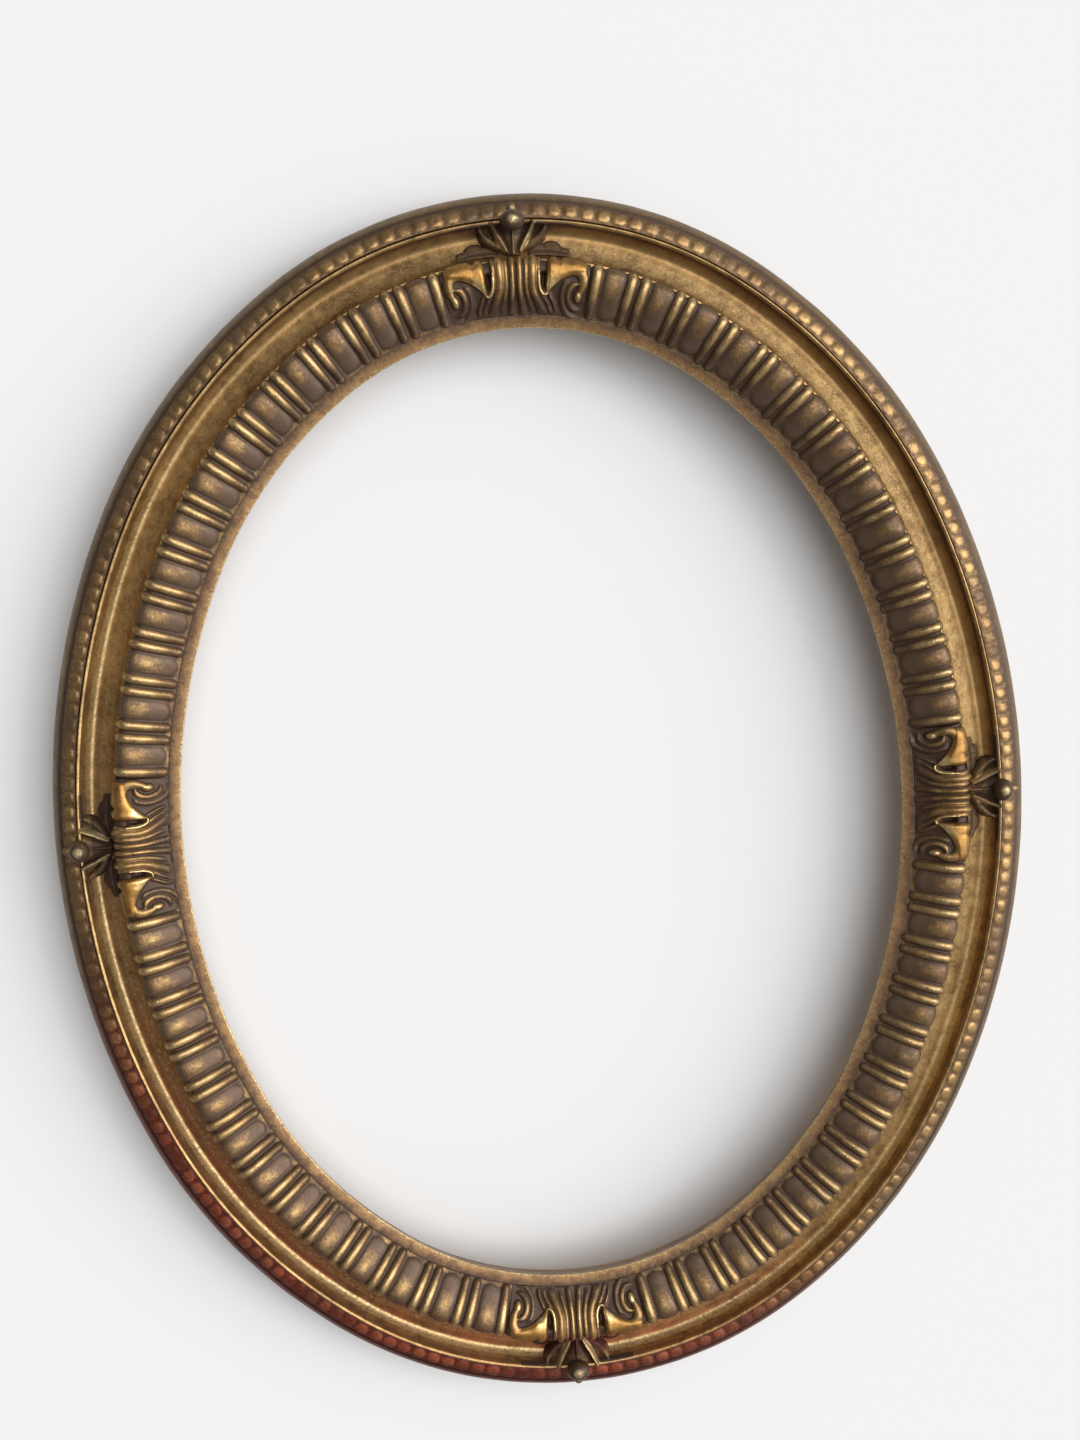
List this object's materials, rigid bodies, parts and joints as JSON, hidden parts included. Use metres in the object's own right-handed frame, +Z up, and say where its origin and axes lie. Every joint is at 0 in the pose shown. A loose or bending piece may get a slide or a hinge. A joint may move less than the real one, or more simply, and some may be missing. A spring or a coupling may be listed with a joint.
{
  "type": "oval picture frame",
  "caption": "Upright oval picture frame with a gilded moulding: gadrooned inner row, hollow, leaf clasps and buds on the axes, and turn buttons and hanging rings on its back.",
  "frame": {"origin": "middle of the oval, on the plane of the frame's back", "axes": "+Z up along the long axis, +X to the right seen from the front, -Y out of the front face"},
  "size_m": [0.4148, 0.0386, 0.5164],
  "materials": {
    "gilded_pine": "pine, gilded over gesso in front and bare behind",
    "gilded_composition": "pressed composition, gilded, worn and toned",
    "beech": "bare",
    "aged_steel": "dulled",
    "aged_brass": "dulled"
  },
  "bodies": {
    "frame": {"carcase_right": "gilded_pine", "carcase_upper_right": "gilded_pine", "carcase_top": "gilded_pine", "carcase_upper_left": "gilded_pine", "carcase_left": "gilded_pine", "carcase_lower_left": "gilded_pine", "carcase_bottom": "gilded_pine", "carcase_lower_right": "gilded_pine", "joint_tongues": "beech", "gadroon_upper_right": "gilded_composition", "gadroon_upper_left": "gilded_composition", "gadroon_lower_left": "gilded_composition", "gadroon_lower_right": "gilded_composition", "border_upper_right": "gilded_composition", "border_upper_left": "gilded_composition", "border_lower_left": "gilded_composition", "border_lower_right": "gilded_composition", "leaf_clasp_top": "gilded_composition", "leaf_clasp_right": "gilded_composition", "leaf_clasp_bottom": "gilded_composition", "leaf_clasp_left": "gilded_composition", "bud_top": "gilded_composition", "bud_right": "gilded_composition", "bud_bottom": "gilded_composition", "bud_left": "gilded_composition", "hanger_plate_right": "aged_steel", "hanger_plate_left": "aged_steel", "hanger_screws": "aged_steel", "turn_button_screws": "aged_brass"},
    "hanger_ring_right": {"hanger_ring_right": "aged_steel"},
    "hanger_ring_left": {"hanger_ring_left": "aged_steel"},
    "turn_button_right": {"turn_button_right": "aged_brass"},
    "turn_button_left": {"turn_button_left": "aged_brass"},
    "turn_button_upper_right": {"turn_button_upper_right": "aged_brass"},
    "turn_button_upper_left": {"turn_button_upper_left": "aged_brass"},
    "turn_button_lower_left": {"turn_button_lower_left": "aged_brass"},
    "turn_button_lower_right": {"turn_button_lower_right": "aged_brass"}
  },
  "joints": [
    {"name": "hanger_ring_right_swing", "type": "hinge", "parent": "frame", "child": "hanger_ring_right", "pos_m": [0.16964, 0.0026, 0.06937], "axis": [1, 0, 0], "range_deg": [0, 165]},
    {"name": "hanger_ring_left_swing", "type": "hinge", "parent": "frame", "child": "hanger_ring_left", "pos_m": [-0.16964, 0.0026, 0.06937], "axis": [1, 0, 0], "range_deg": [0, 165]},
    {"name": "turn_button_right_turn", "type": "hinge", "parent": "frame", "child": "turn_button_right", "pos_m": [0.1704, 0.0011, 0], "axis": [0, 1, 0], "continuous": true},
    {"name": "turn_button_left_turn", "type": "hinge", "parent": "frame", "child": "turn_button_left", "pos_m": [-0.1704, 0.0011, 0], "axis": [0, 1, 0], "continuous": true},
    {"name": "turn_button_upper_right_turn", "type": "hinge", "parent": "frame", "child": "turn_button_upper_right", "pos_m": [0.11636, 0.0011, 0.16189], "axis": [0, 1, 0], "continuous": true},
    {"name": "turn_button_upper_left_turn", "type": "hinge", "parent": "frame", "child": "turn_button_upper_left", "pos_m": [-0.11636, 0.0011, 0.16189], "axis": [0, 1, 0], "continuous": true},
    {"name": "turn_button_lower_left_turn", "type": "hinge", "parent": "frame", "child": "turn_button_lower_left", "pos_m": [-0.11636, 0.0011, -0.16189], "axis": [0, 1, 0], "continuous": true},
    {"name": "turn_button_lower_right_turn", "type": "hinge", "parent": "frame", "child": "turn_button_lower_right", "pos_m": [0.11636, 0.0011, -0.16189], "axis": [0, 1, 0], "continuous": true}
  ]
}
